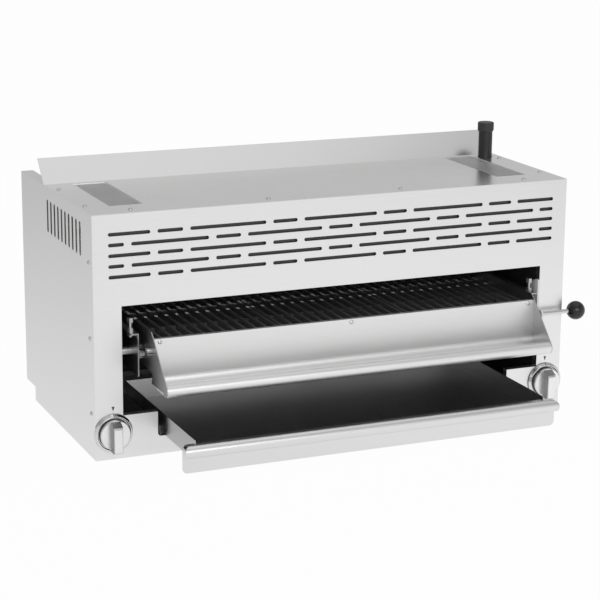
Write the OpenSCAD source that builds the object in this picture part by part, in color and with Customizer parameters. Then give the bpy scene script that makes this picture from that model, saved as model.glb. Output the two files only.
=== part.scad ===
// Gas cheese melter: a salamander broiler with a lifting roll-out rack and a drip tray.
// X runs to the right, Y to the back and Z up; the origin is the centre of the case's footprint.

/* [Case] */
// Width over the side panels
case_w = 914; // [900:2:960]
// Depth from the front panel's face to the back panel
case_d = 440; // [436:2:470]
// Height to the top panel
case_h = 432; // [430:1:450]
// Thickness of the outer stainless sheets
sheet_t = 1.2; // [1:0.1:1.5]
// Thickness of the front panel
face_t = 1.5; // [1.2:0.1:1.8]

/* [Front openings] */
// Width of each stile beside the main opening
stile_w = 50; // [46:1:54]
// Height of the header above the main opening
header_h = 161; // [158:1:164]
// Height of the corner blocks beside the tray
block_h = 77; // [75:1:79]
// Distance from the case's side to the tray opening
tray_margin = 113; // [108:1:118]
// Height of the strip below the tray
strip_h = 32; // [30:1:32]
// Depth of the folded returns round the opening
return_d = 12.5; // [10:0.5:14]

/* [Front slots] */
// Number of slot rows
slot_rows = 5; // [3:1:5]
// Height of a slot
slot_h = 6.3; // [5:0.1:8]
// Distance between the rows
slot_pitch = 18.5; // [16:0.5:19]
// Length of a long slot
slot_long = 140; // [120:2:144]
// Length of a short slot
slot_short = 46; // [36:1:50]
// Distance from one long slot to the next in a row
slot_period = 212; // [206:2:216]
// Plain margin at each end of the rows
slot_margin = 28; // [24:1:34]
// Distance from the top of the case to the first row
slot_top = 35.3; // [32:0.1:38]

/* [Side and top vents] */
// Number of vertical slots in a side vent
vent_slots = 10; // [6:1:10]
// Distance between the vertical slots
vent_pitch = 22; // [18:0.2:22.2]
// Length of a vertical slot
vent_len = 60; // [50:1:66]
// Width of a vertical slot
vent_slot_w = 9.5; // [5:0.5:11]
// Distance from the front face to the first vertical slot
vent_front = 68.5; // [64:0.5:76]
// Distance from the top of the case to the vertical slots
vent_top = 23; // [22:1:28]
// Width of a vent in the top
screen_w = 61; // [50:1:62]
// Length of a vent in the top
screen_l = 211; // [180:1:214]
// Distance from the case's side to a top vent
screen_margin = 51; // [49:1:53]
// Distance from the front face to a top vent
screen_front = 65; // [60:1:68]
// Width of a slit in the vent screens
screen_slit = 4; // [2.5:0.5:5]
// Distance between the slits in the vent screens
screen_pitch = 8; // [7:0.5:14]

/* [Deflector and flue] */
// Depth of the top panel up to the deflector's fold
deck_d = 288; // [284:1:292]
// How far the deflector leans back
deflector_run = 38; // [30:1:44]
// How far the deflector rises
deflector_rise = 42; // [36:1:50]
// How far the back panel's top lies below the top of the case
back_drop = 17; // [14:1:24]

/* [Chamber] */
// Distance from the front face to the rear liner
chamber_d = 410; // [408:1:412]
// Height of the burner deck above the opening's top edge
deck_rise = 19; // [16:1:24]
// Gap between the rear liner's top and the burner deck
flue_gap = 20; // [14:1:30]

/* [Burners] */
// Size of one ceramic tile from front to back
tile_d = 89; // [76:1:92]
// Thickness of a ceramic tile
tile_t = 13; // [10:0.5:16]
// Height of a burner box
box_h = 45; // [38:1:50]
// Outer diameter of a venturi tube
venturi_d = 36; // [28:1:40]

/* [Gas train] */
// Outer diameter of the three-quarter inch inlet pipe
pipe_d = 26.7; // [26.7:0.1:26.7]
// Bore of the inlet pipe
pipe_bore = 20.9; // [19:0.1:22]
// Height of the inlet pipe's end above the top of the case
pipe_rise = 66; // [60:1:80]
// Outer diameter of the manifold pipe
manifold_d = 21.3; // [18:0.1:21.3]
// Height of the thread cap
cap_h = 18; // [15:1:22]
// Outer diameter of the supply tubes
supply_d = 9.5; // [8:0.5:10]

/* [Knobs] */
// Distance from a knob's axis to the case's side
knob_inset = 32; // [31:1:34]
// Height of a knob's axis
knob_z = 47.5; // [46:0.5:49]
// Diameter of a knob's skirt
knob_d = 69; // [66:1:70]
// Depth of a knob
knob_depth = 30; // [29:1:36]
// Width of a knob's grip bar
grip_w = 17; // [14:1:20]
// Diameter of a valve stem
stem_d = 8; // [6:0.5:9]

/* [Rack] */
// Gap between the rack's sides and the sides of the opening
rack_side_gap = 38.5; // [37.5:0.5:40]
// Depth of the rack from its front sheet to its rear
rack_d = 345; // [330:1:350]
// How far the rack's front sheet stands out of the case at rest
rack_out = 50; // [46:1:54]
// Height of the rack's sides
rack_side_h = 67; // [66:1:68]
// Gap between the rack's sides and the top of the opening
rack_headroom = 39; // [38:1:40]
// Depth of the rack's front ledge, from its sheet to the roll's centre
ledge_d = 60; // [52:1:66]
// Outer diameter of the rolled handle
roll_d = 22; // [19:1:24]
// Thickness of the rack's sheets
rack_t = 1.5; // [1.2:0.1:1.8]
// Height of the rack's front sheet above the handle's underside
apron_h = 85.5; // [82.5:1:88.5]

/* [Grates] */
// Number of grates side by side
grate_count = 3; // [3:1:3]
// Number of bars in a grate
bar_count = 13; // [9:1:13]
// Width of a bar
bar_w = 8; // [6:0.5:9]
// Height of a grate
grate_h = 19.5; // [16:0.5:20]

/* [Lift] */
// How far the lever raises the rack from its rest height
lift_up = 23; // [10:1:23]
// How far the lever lowers the rack from its rest height
lift_down = 50; // [30:1:50]
// Diameter of the cross shaft
shaft_d = 16; // [14:1:18]
// Width of the lift arms
arm_w = 22; // [18:1:24]
// Thickness of the lift arms
arm_t = 3; // [2.5:0.1:3.5]
// Diameter of the guide studs
stud_d = 10; // [8:0.5:11]
// Diameter of the lever's rod
lever_d = 8; // [7:0.5:9]
// Diameter of the lever's ball
ball_d = 35; // [30:1:38]
// Length of the lever's rod, from the arm to the ball's centre
lever_l = 74; // [72:1:90]
// Radius of the lever arm's half-moon head
head_r = 31; // [26:1:31]

/* [Drip tray] */
// Gap between the tray pan and the sides of its opening
tray_side_gap = 11; // [10:1:14]
// Depth of the tray pan
tray_d = 372; // [350:1:374]
// Height of the tray's walls
tray_h = 37; // [30:1:38]
// How far the tray stands out of the case at rest
tray_out = 157; // [120:1:160]
// How far the tray's front stands out beside the pan
tray_front_over = 22.5; // [16:0.5:26]
// Height of the tray's front below its hem
tray_skirt_h = 29; // [24:1:30]
// Height of the rounded hem
hem_h = 22; // [18:1:24]
// How far the hem stands forward
hem_d = 20; // [14:1:24]

/* [Hidden] */
$fn = 32;
slot_fn = 16;
screw_fn = 16;
round_fn = 40;

// Clearances and the overrun of every cut
overrun = 1;
fit_gap = 0.3;
run_gap = 0.5;
bore_gap = 0.05;

// Main planes of the case
half_w = case_w/2;
front_y = -case_d/2;
rear_y = case_d/2;
face_back_y = front_y + face_t;
under_top_z = case_h - sheet_t;
inner_x = half_w - sheet_t;
open_x = half_w - stile_w;
open_z = case_h - header_h;
tray_open_x = half_w - tray_margin;
tray_corner_r = 6;
return_y = face_back_y + return_d;

// Flanges of the case's sheets
side_flange_w = 21.5;
rear_flange_w = 20;
front_flange_d = 34;
side_return_d = 30;
pan_flange_h = 20;

// The stepped notch at the bottom of the back
notch_d = 59;
notch_h = 27;
notch_y = rear_y - notch_d;

// Slot backing plate
baffle_gap = 5;
baffle_margin = 24;
baffle_lift = 26;
baffle_flange_d = 27;
baffle_y = face_back_y + baffle_gap;

// Screws
screw_head_d = 8;
screw_tip_d = 5.6;
screw_head_h = 2;
screw_shank_d = 4;
screw_shank_l = 5;
screw_hole_d = screw_shank_d + 2*fit_gap;
side_screw_inset = 22;
side_screw_y = front_y + side_screw_inset;
side_screw_z_shares = [0.803, 0.495, 0.185];
top_screw_inset = 12.5;
top_screw_x = half_w - top_screw_inset;
top_screw_y_shares = [0.18, 0.536];
header_screw_inset = 26;
header_screw_y = front_y + header_screw_inset;
header_screw_x_shares = [-0.832, -0.28, 0.28, 0.832];

// Bolt holes for legs in the bottom panel
bolt_inset_x = 75;
bolt_inset_y = 100;
bolt_x = half_w - bolt_inset_x;
bolt_y = rear_y - bolt_inset_y;
bolt_hole_d = 11;

// Chamber
liner_t = 1.2;
liner_out_x = open_x + liner_t;
chamber_y = front_y + chamber_d;
ledge_z = notch_h + sheet_t;
deck_z = open_z + deck_rise;
deck_t = 1.5;
deck_back_d = 340;
deck_back_y = front_y + deck_back_d;
deck_curb_h = 24;

// Burners
tile_cols = 3;
tile_rows = 3;
tile_gap = 1;
tile_lip = 4;
box_t = 1.2;
box_mid = 17;
box_side_gap = 29.6;
box_front_gap = 20;
box_w = open_x - box_mid - box_side_gap;
tile_w = (box_w - 2*box_t - (tile_cols + 1)*tile_gap)/tile_cols;
tile_pitch_x = tile_w + tile_gap;
tile_pitch_y = tile_d + tile_gap;
tiles_w = tile_cols*tile_pitch_x - tile_gap;
tiles_d = tile_rows*tile_pitch_y - tile_gap;
box_d = tiles_d + 2*tile_gap + 2*box_t;
box_x = box_mid + box_w/2;
box_y = return_y + box_front_gap + box_d/2;
box_z = deck_z + deck_t;
box_top_z = box_z + box_h;
groove_w = 2;
groove_depth = 2;
groove_count = 4;
venturi_wall = 1.5;
venturi_r = venturi_d/2;
venturi_bend_gap = 6;
bend_r = venturi_r + venturi_bend_gap;
venturi_rise = 36;
venturi_z = box_top_z + venturi_rise;
mouth_flare = 7;
mouth_r = venturi_r + mouth_flare;
mouth_l = 22;
mouth_gap = 4;
mouth_x = open_x + mouth_gap;

// Gas train
train_x = half_w - knob_inset;
manifold_lift = 18;
manifold_inset = 33;
manifold_y = front_y + manifold_inset;
manifold_wall = 2.8;
manifold_over = 12;
manifold_clear = 5;
corner_r = 14.5;
inlet_inset = 30;
inlet_x = half_w - inlet_inset;
inlet_back = 262;
inlet_y = front_y + inlet_back;
elbow_r = 15.5;
elbow_l = 28;
elbow_h = 28;
elbow_bead = 1;
elbow_bead_l = 5;
pipe_foot_z = manifold_lift + pipe_d/2;
pipe_top_z = case_h + pipe_rise;
pipe_hole_gap = 1.5;
pipe_hole_d = pipe_d + 2*pipe_hole_gap;
pipe_notch_gap = 3;
valve_r = 13;
valve_l = 34;
valve_nose_r = 8;
valve_nose_l = 4;
valve_boss_r = 8;
valve_top_h = 20;
valve_top_r = 7;
supply_bend_r = 16;
orifice_r = 7;
orifice_back = 15;
orifice_nose_r = 4.5;
orifice_tip_gap = 2;
cap_wall = 1.9;
cap_top = 2;
cap_bevel = 1;
cap_skirt_h = 3;
cap_ribs = 20;
cap_rib_w = 1.2;
cap_rib_out = 0.4;

// Knobs
skirt_h = 5;
rim_edge = 1.5;
rim_bevel = 3.5;
rim_top = 0.8;
dish_depth = 2.5;
dish_gap = 0.6;
drum_h = 8;
drum_base_r = 28;
drum_top_r = 27;
drum_shoulder = 1.5;
knob_gap = 1;
grip_up = 17;
grip_root_up = 25;
grip_down = 29.5;
grip_edge = 3;
grip_round = 4;
knob_back_y = front_y - knob_gap;
skirt_y = knob_back_y - skirt_h;
drum_y = skirt_y - drum_h;
knob_tip_y = knob_back_y - knob_depth;
stem_in = 14;
stem_into_knob = 24;
stem_hole_d = 11;

// Rack heights and depths
rack_top_z = open_z - rack_headroom;
rack_low_z = rack_top_z - rack_side_h;
rack_front_y = front_y - rack_out;
rack_rear_y = rack_front_y + rack_d;
rack_x = open_x - rack_side_gap;
rack_in_x = rack_x - rack_t;
apron_drop = 10.5;
apron_top_z = rack_top_z - apron_drop;
apron_low_z = apron_top_z - apron_h;
apron_bend_r = 18;
apron_lip = 8;
roll_r = roll_d/2;
roll_y = rack_front_y - ledge_d;
roll_z = apron_low_z + roll_r;
side_nose = 10;
side_foot = 5.5;
side_heel = 8;
side_heel_h = 18;
side_slope_d = 31;
side_slope_h = 1.5;
brow_h = 8;

// Rollers and their track
track_drop = 55;
track_z = rack_top_z - track_drop;
track_h = 20;
track_t = 1.5;
track_w = 12;
track_start = 3;
track_len = 369;
roller_d = 19.4;
roller_w = 9.6;
roller_z = track_z + track_h/2;
roller_inset = 17;
rear_roller_y = rack_rear_y - roller_inset;
front_roller_d = 14;
front_roller_out = 5;
front_roller_y = front_y - front_roller_out;
axle_d = 6;
axle_head_d = 9;
axle_head_t = 0.8;
lip_gap = 0.3;
lip_t = 1.5;
lip_w = 9;
lip_z = roller_z + front_roller_d/2 + lip_gap;
lip_front_gap = 2;
lip_rear_gap = 35;
stop_pin_d = 10;
stop_pin_l = 10;
stop_pin_inset = 6;
stop_pin_z = lip_z + lip_t + stop_pin_d/2;
stop_pin_y = rack_front_y + stop_pin_inset;

// Grates and what carries them
grate_drop = 19;
grate_top_z = rack_top_z - grate_drop;
grate_z = grate_top_z - grate_h;
grate_bar_h = 14.5;
grate_gap = 1.5;
grate_span = (2*rack_in_x - grate_gap)/grate_count;
grate_w = grate_span - grate_gap;
grate_front_gap = 9;
grate_rear_gap = 13;
grate_front_y = rack_front_y + grate_front_gap;
grate_rear_y = rack_rear_y - grate_rear_gap;
bar_pitch = (grate_w - bar_w)/(bar_count - 1);
bar_top_share = 0.7;
rib_w = 7;
rib_count = 4;
rib_pitch = (grate_rear_y - grate_front_y - rib_w)/(rib_count - 1);
support_t = 3;
support_ledge = 15;
support_drop = 18;
apron_screw_drop = 5.5;
apron_screw_z = apron_top_z - apron_screw_drop;
apron_screw_x_shares = [-0.966, 0, 0.966];

// Carriage
plate_t = 2;
plate_gap = 13;
plate_x = rack_x + plate_gap;
plate_out_x = plate_x + plate_t;
plate_out = 14;
plate_back = 398;
plate_front_y = front_y - plate_out;
plate_rear_y = front_y + plate_back;
plate_top_drop = 8;
plate_h = 76;
plate_top_z = rack_top_z - plate_top_drop;
plate_low_z = plate_top_z - plate_h;
plate_flange = 11.5;
track_front_y = front_y + track_start;
track_rear_y = track_front_y + track_len;
tie_d = 12;
tie_inset = 8;
tie_z = plate_low_z + tie_inset;
tie_y_share = 0.27;
stud_inset = 30;
stud_drop = 48;
stud_y = front_y + stud_inset;
stud_z = rack_top_z - stud_drop;
spacer_d = 17;
stud_over = 4;
stop_bolt_inset = 8;
stop_bolt_y = front_y + stop_bolt_inset;
stop_bolt_x = plate_out_x + plate_flange/2;
stop_bolt_top_z = open_z - lift_up - run_gap;
stop_bolt_d = 6;
stop_bolt_l = 34;
stop_head_w = 10;
stop_head_h = 8;
stop_nut_h = 6;
guide_pin_back = 392;
guide_pin_y = front_y + guide_pin_back;
guide_pin_d = 10;
guide_half = guide_pin_d/2 + fit_gap;
guide_pin_l = 9;
guide_pin_rise = 39;
guide_pin_z = plate_low_z + guide_pin_rise;
guide_t = 1.5;
guide_w = 10;
guide_over = 12;
flange_rear_y = guide_pin_y - guide_half - guide_t - run_gap;

// Lift arms and lever
arm_gap = 2.5;
arm_x = open_x - arm_gap - arm_t;
arm_hub_d = 24;
arm_slot_l = 16;
arm_slot_w = stud_d + 2*fit_gap;
shaft_inset = 15;
shaft_y = rear_y - shaft_inset;
arm_l = shaft_y - stud_y;
shaft_z = stud_z + (lift_up - lift_down)/2;
arm_rise = stud_z - shaft_z;
arm_angle = atan2(arm_rise, arm_l);
shaft_over = 13;
shaft_end_x = open_x + shaft_over;
bush_d = 24;
bush_spigot_d = 20;
bush_t = 6;
arm_window_w = 11;
arm_window_h = 40;
liner_slot_over = 5.4;
head_rise = 30.7;
head_inset = 1;
head_flat = 4;
head_y = front_y - head_inset;
head_z = stud_z + head_rise;
head_front_y = front_y - head_flat;
rod_out = 15;
rod_y = front_y - rod_out;
rod_drop = 1;
rod_z = stud_z - rod_drop;
tongue_w = 16;

// Tray
tray_t = 1.2;
tray_x = tray_open_x - tray_side_gap;
tray_lift = 2;
tray_z = strip_h + tray_lift;
tray_front_y = front_y - tray_out;
tray_rear_y = tray_front_y + tray_d;
tray_skirt_z = 15;
hem_z = tray_skirt_z + tray_skirt_h;
hem_top_z = hem_z + hem_h;
tray_corner = 9;
runner_t = 1.5;
runner_in = 15;
runner_gap = 1.5;
runner_web_x = tray_x + runner_gap;
runner_lip_h = 12;
runner_foot = 14;
runner_start = 15;
runner_back = 378;
runner_gap_z = 0.3;

// A block between two corners
module block(x0, x1, y0, y1, z0, z1) {
  translate([x0, y0, z0]) cube([x1 - x0, y1 - y0, z1 - z0]);
}

// Outlines drawn in Y and Z, as thick as t from x to the right
module slab_x(x, t) {
  translate([x, 0, 0]) rotate([90, 0, 90]) linear_extrude(t) children();
}

// Outlines drawn in X and Z, as thick as t from y to the back
module slab_y(y, t) {
  translate([0, y + t, 0]) rotate([90, 0, 0]) linear_extrude(t) children();
}

// Outlines drawn in X and Y, as thick as t from z up
module slab_z(z, t) {
  translate([0, 0, z]) linear_extrude(t) children();
}

// Round bars along the three axes
module bar_x(x0, x1, y, z, d) {
  translate([x0, y, z]) rotate([0, 90, 0]) cylinder(h = x1 - x0, d = d);
}
module bar_y(y0, y1, x, z, d) {
  translate([x, y0, z]) rotate([-90, 0, 0]) cylinder(h = y1 - y0, d = d);
}
module bar_z(z0, z1, x, y, d) {
  translate([x, y, z0]) cylinder(h = z1 - z0, d = d);
}

// A slot with round ends, from a to b along its first axis
module slot_2d(a, b, v, w) {
  translate([a + w/2, v - w/2]) square([b - a - w, w]);
  translate([a + w/2, v]) circle(d = w);
  translate([b - w/2, v]) circle(d = w);
}

// A rectangle between two corners
module rect_2d(x0, x1, y0, y1) {
  translate([x0, y0]) square([x1 - x0, y1 - y0]);
}

// A rectangle with its lower corners rounded
module tub_2d(x0, x1, y0, y1, r) {
  rect_2d(x0, x1, y0 + r, y1);
  rect_2d(x0 + r, x1 - r, y0, y1);
  for (x = [x0 + r, x1 - r]) translate([x, y0 + r]) circle(r = r);
}

// A hexagon as wide as w across its flats
module hex_2d(w) {
  polygon([for (i = [0:5]) [w*cos(60*i)/sqrt(3), w*sin(60*i)/sqrt(3)]]);
}

module mirrored() {
  mirror([1, 0, 0]) children();
}
module both_sides() {
  children();
  mirrored() children();
}

// Screws along Z, Y and X, with their heads outward of the given place
module screw() {
  cylinder(h = screw_head_h, d1 = screw_head_d, d2 = screw_tip_d, $fn = screw_fn);
  translate([0, 0, -screw_shank_l]) cylinder(h = screw_shank_l, d = screw_shank_d, $fn = screw_fn);
}
module screw_hole() {
  translate([0, 0, -screw_shank_l]) cylinder(h = screw_shank_l + overrun, d = screw_hole_d, $fn = screw_fn);
}

// Places of the case's screws
module at_side_screws() {
  for (share = side_screw_z_shares)
    translate([half_w, side_screw_y, case_h*share]) rotate([0, 90, 0]) children();
}
module at_top_screws() {
  for (share = top_screw_y_shares)
    translate([top_screw_x, front_y + case_d*share, case_h]) children();
}
module at_header_screws() {
  for (share = header_screw_x_shares)
    translate([half_w*share, header_screw_y, case_h]) children();
}

// Side panel of the right hand; pipe_side opens its top flange for the gas pipe
module side_panel(pipe_side) {
  vents_y = front_y + vent_front;
  vents_z = case_h - vent_top;
  difference() {
    union() {
      slab_x(inner_x, sheet_t) difference() {
        union() {
          rect_2d(face_back_y, notch_y, 0, under_top_z);
          rect_2d(face_back_y, rear_y, notch_h, under_top_z);
        }
        for (i = [0:vent_slots - 1])
          translate([vents_y + i*vent_pitch, vents_z - vent_len/2]) rotate(90)
            slot_2d(-vent_len/2, vent_len/2, 0, vent_slot_w, $fn = slot_fn);
      }
      block(inner_x - side_flange_w, inner_x, face_back_y, rear_y, under_top_z - sheet_t, under_top_z);
      block(inner_x - rear_flange_w, inner_x, rear_y - sheet_t, rear_y, notch_h, under_top_z);
    }
    at_side_screws() screw_hole();
    at_top_screws() screw_hole();
    if (pipe_side)
      bar_z(under_top_z - sheet_t - overrun, under_top_z + overrun, inlet_x, inlet_y,
        pipe_d + 2*pipe_notch_gap);
  }
}

module left_side_panel() {
  color("silver") mirrored() side_panel(false);
}

module right_side_panel() {
  color("silver") side_panel(true);
}

// The long and short slots of one row, cut off at the field's ends
module slot_row(z, longs_first) {
  field = half_w - slot_margin;
  turns = ceil(field/slot_period);
  for (k = [-turns:turns], long = [0, 1]) {
    shifted = (long == 1) == longs_first ? 0 : 0.5;
    middle = (k + shifted)*slot_period;
    half_l = (long == 1 ? slot_long : slot_short)/2;
    a = max(middle - half_l, -field);
    b = min(middle + half_l, field);
    if (b - a > 2*slot_h) slot_2d(a, b, z, slot_h, $fn = slot_fn);
  }
}

module front_panel() {
  color("silver") difference() {
    union() {
      slab_y(front_y, face_t) difference() {
        rect_2d(-half_w, half_w, 0, under_top_z);
        rect_2d(-open_x, open_x, block_h, open_z);
        tub_2d(-tray_open_x, tray_open_x, strip_h, block_h + overrun, tray_corner_r, $fn = slot_fn);
        for (i = [0:slot_rows - 1])
          slot_row(case_h - slot_top - i*slot_pitch, i % 2 == 0);
        for (x = [-train_x, train_x]) translate([x, knob_z]) circle(d = stem_hole_d);
      }
      // Returns folded back round the openings
      both_sides() {
        block(open_x, open_x + face_t, face_back_y, return_y, block_h - face_t, open_z + face_t);
        block(tray_open_x, open_x + face_t, face_back_y, return_y, block_h - face_t, block_h);
        block(tray_open_x, tray_open_x + face_t, face_back_y, return_y, strip_h + tray_corner_r, block_h);
        block(inner_x - face_t, inner_x, face_back_y, face_back_y + side_return_d,
          pan_flange_h + fit_gap, under_top_z - 2*sheet_t);
      }
      block(-open_x, open_x, face_back_y, return_y, open_z, open_z + face_t);
      block(tray_corner_r - tray_open_x, tray_open_x - tray_corner_r, face_back_y, return_y,
        strip_h - face_t, strip_h);
      // Return under the top panel
      block(side_flange_w + fit_gap - inner_x, inner_x - side_flange_w - fit_gap, face_back_y,
        face_back_y + front_flange_d, under_top_z - face_t, under_top_z);
    }
    both_sides() at_side_screws() screw_hole();
    at_header_screws() screw_hole();
  }
}

// Top panel in one sheet with the sloped deflector at its rear
module top_panel() {
  fold_y = front_y + deck_d;
  lean = atan2(deflector_rise, deflector_run);
  inset = sheet_t*tan(lean/2);
  tip_y = fold_y + deflector_run;
  tip_z = case_h + deflector_rise;
  vent_x = half_w - screen_margin - screen_w/2;
  vent_y = front_y + screen_front;
  color("silver") difference() {
    slab_x(-half_w, case_w) polygon([
      [front_y, under_top_z], [front_y, case_h], [fold_y, case_h], [tip_y, tip_z],
      [tip_y + sheet_t*sin(lean), tip_z - sheet_t*cos(lean)], [fold_y + inset, under_top_z]
    ]);
    both_sides() {
      block(vent_x - screen_w/2, vent_x + screen_w/2, vent_y, vent_y + screen_l,
        under_top_z - overrun, case_h + overrun);
      at_top_screws() screw_hole();
    }
    at_header_screws() screw_hole();
    bar_z(under_top_z - overrun, case_h + overrun, inlet_x, inlet_y, pipe_hole_d);
  }
}

// Slit screen of the right hand under its cut-out in the top panel
module vent_screen() {
  rim = 6;
  vent_x = half_w - screen_margin - screen_w/2;
  vent_y = front_y + screen_front;
  slits = floor((screen_l - screen_pitch)/screen_pitch);
  first_y = vent_y + (screen_l - (slits - 1)*screen_pitch - screen_slit)/2;
  slab_z(under_top_z - sheet_t, sheet_t) difference() {
    rect_2d(vent_x - screen_w/2 - rim, vent_x + screen_w/2 + rim, vent_y - rim, vent_y + screen_l + rim);
    for (i = [0:slits - 1])
      rect_2d(vent_x - screen_w/2 + rim/2, vent_x + screen_w/2 - rim/2,
        first_y + i*screen_pitch, first_y + i*screen_pitch + screen_slit);
  }
}

module vent_screen_left() {
  color("dimgray") mirrored() vent_screen();
}

module vent_screen_right() {
  color("dimgray") vent_screen();
}

// Plate behind the slots, hung from the front panel's top return
module slot_backing_plate() {
  plate_top = under_top_z - face_t;
  reach = half_w - baffle_margin;
  color("dimgray") difference() {
    union() {
      block(-reach, reach, baffle_y, baffle_y + sheet_t, open_z + baffle_lift, plate_top);
      block(-reach, reach, baffle_y, baffle_y + baffle_flange_d, plate_top - sheet_t, plate_top);
    }
    at_header_screws() screw_hole();
  }
}

module back_panel() {
  plate_y = rear_y - sheet_t;
  color("darkgray")
    block(-inner_x, inner_x, plate_y - sheet_t, plate_y, notch_h, case_h - back_drop);
}

// Bottom panel: a pan with its rear stepped up and four bolt holes
module bottom_panel() {
  ledge_y = rear_y - 2*sheet_t;
  color("darkgray") difference() {
    union() {
      slab_x(-inner_x, 2*inner_x) polygon([
        [face_back_y, 0], [notch_y, 0], [notch_y, notch_h], [ledge_y, notch_h], [ledge_y, ledge_z],
        [notch_y - sheet_t, ledge_z], [notch_y - sheet_t, sheet_t], [face_back_y + sheet_t, sheet_t],
        [face_back_y + sheet_t, pan_flange_h], [face_back_y, pan_flange_h]
      ]);
      both_sides()
        block(inner_x - sheet_t, inner_x, face_back_y, notch_y - sheet_t, 0, pan_flange_h);
    }
    for (x = [-bolt_x, bolt_x], y = [-bolt_y, bolt_y])
      bar_z(-overrun, sheet_t + overrun, x, y, bolt_hole_d);
  }
}

// Chamber side of the right hand, with the stud's slot and the shaft's hole
module liner() {
  slot_low = stud_z - lift_down - liner_slot_over;
  slot_high = stud_z + lift_up + liner_slot_over;
  manifold_top = manifold_lift + manifold_d/2 + manifold_clear;
  manifold_back = manifold_y + manifold_d/2 + manifold_clear;
  slab_x(open_x, liner_t) difference() {
    rect_2d(return_y, rear_y - 2*sheet_t - run_gap, sheet_t, deck_z);
    rect_2d(return_y - overrun, manifold_back, 0, manifold_top);
    rect_2d(notch_y - sheet_t - run_gap, rear_y, 0, ledge_z);
    translate([stud_y, (slot_low + slot_high)/2]) rotate(90)
      slot_2d((slot_low - slot_high)/2, (slot_high - slot_low)/2, 0, stud_d + 2*run_gap);
    translate([shaft_y, shaft_z]) circle(d = bush_spigot_d + 2*bore_gap);
  }
}

module left_liner() {
  color("gray") mirrored() liner();
}

module right_liner() {
  color("gray") liner();
}

module rear_liner() {
  color("gray") slab_y(chamber_y, liner_t) difference() {
    rect_2d(-open_x, open_x, ledge_z, deck_z - flue_gap);
    for (x = [-open_x, open_x - arm_window_w])
      rect_2d(x - overrun*(1 - sign(x))/2, x + arm_window_w + overrun*(1 + sign(x))/2,
        shaft_z - arm_window_h/2, shaft_z + arm_window_h/2);
  }
}

// Places of the right-hand burner's tiles, at their near left corners
module at_tiles() {
  for (i = [0:tile_cols - 1], j = [0:tile_rows - 1])
    translate([box_x - tiles_w/2 + i*tile_pitch_x, box_y - tiles_d/2 + j*tile_pitch_y, 0]) children();
}

// Deck that carries the burners, with a window under each tile
module burner_deck() {
  color("gray") difference() {
    union() {
      block(-liner_out_x, liner_out_x, return_y, deck_back_y, deck_z, box_z);
      block(-open_x, open_x, return_y, return_y + deck_t, open_z, deck_z);
      block(-open_x, open_x, deck_back_y - deck_t, deck_back_y, box_z, box_z + deck_curb_h);
    }
    both_sides() at_tiles()
      block(tile_lip, tile_w - tile_lip, tile_lip, tile_d - tile_lip, deck_z - overrun, box_z + overrun);
  }
}

// Steel box over one burner's tiles, with the venturi's hole in its top
module burner_box() {
  difference() {
    block(box_x - box_w/2, box_x + box_w/2, box_y - box_d/2, box_y + box_d/2, box_z, box_top_z);
    block(box_x - box_w/2 + box_t, box_x + box_w/2 - box_t, box_y - box_d/2 + box_t,
      box_y + box_d/2 - box_t, box_z - overrun, box_top_z - box_t);
    bar_z(box_top_z - box_t - overrun, box_top_z + overrun, box_x, box_y, venturi_d - 2*venturi_wall);
  }
}

module burner_box_left() {
  color("slategray") mirrored() burner_box();
}

module burner_box_right() {
  color("slategray") burner_box();
}

// One ceramic plaque, grooved on its glowing underside
module tile() {
  groove_pitch = tile_w/(groove_count + 1);
  groove_inset = tile_lip + groove_w;
  difference() {
    block(0, tile_w, 0, tile_d, box_z, box_z + tile_t);
    for (i = [1:groove_count])
      block(i*groove_pitch - groove_w/2, i*groove_pitch + groove_w/2, groove_inset, tile_d - groove_inset,
        box_z - overrun, box_z + groove_depth);
  }
}

module burner_tiles() {
  color("antiquewhite") both_sides() at_tiles() tile();
}

// Mixing tube from its flared mouth beside the chamber into the burner box
module venturi_tube() {
  inner_r = venturi_r - venturi_wall;
  difference() {
    union() {
      bar_x(box_x + bend_r, mouth_x - mouth_l, box_y, venturi_z, venturi_d);
      translate([mouth_x - mouth_l, box_y, venturi_z]) rotate([0, 90, 0])
        cylinder(h = mouth_l, r1 = venturi_r, r2 = mouth_r);
      translate([box_x + bend_r, box_y, venturi_z - bend_r]) rotate([90, 0, 0])
        rotate_extrude(angle = 90, start = 90) translate([bend_r, 0]) circle(r = venturi_r);
      bar_z(box_top_z, venturi_z - bend_r, box_x, box_y, venturi_d);
    }
    bar_x(box_x + bend_r, mouth_x - mouth_l, box_y, venturi_z, 2*inner_r);
    translate([mouth_x - mouth_l, box_y, venturi_z]) rotate([0, 90, 0])
      cylinder(h = mouth_l, r1 = inner_r, r2 = mouth_r - venturi_wall);
    translate([box_x + bend_r, box_y, venturi_z - bend_r]) rotate([90, 0, 0])
      rotate_extrude(angle = 90, start = 90) translate([bend_r, 0]) circle(r = inner_r);
    bar_z(box_top_z - overrun, venturi_z - bend_r, box_x, box_y, 2*inner_r);
  }
}

module venturi_tube_left() {
  color("gray") mirrored() venturi_tube($fn = 24);
}

module venturi_tube_right() {
  color("gray") venturi_tube($fn = 24);
}

// Black inlet pipe up through the top panel
module gas_inlet_pipe() {
  color("black") difference() {
    bar_z(pipe_foot_z, pipe_top_z, inlet_x, inlet_y, pipe_d, $fn = round_fn);
    bar_z(pipe_foot_z - overrun, pipe_top_z + overrun, inlet_x, inlet_y, pipe_bore);
  }
}

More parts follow.
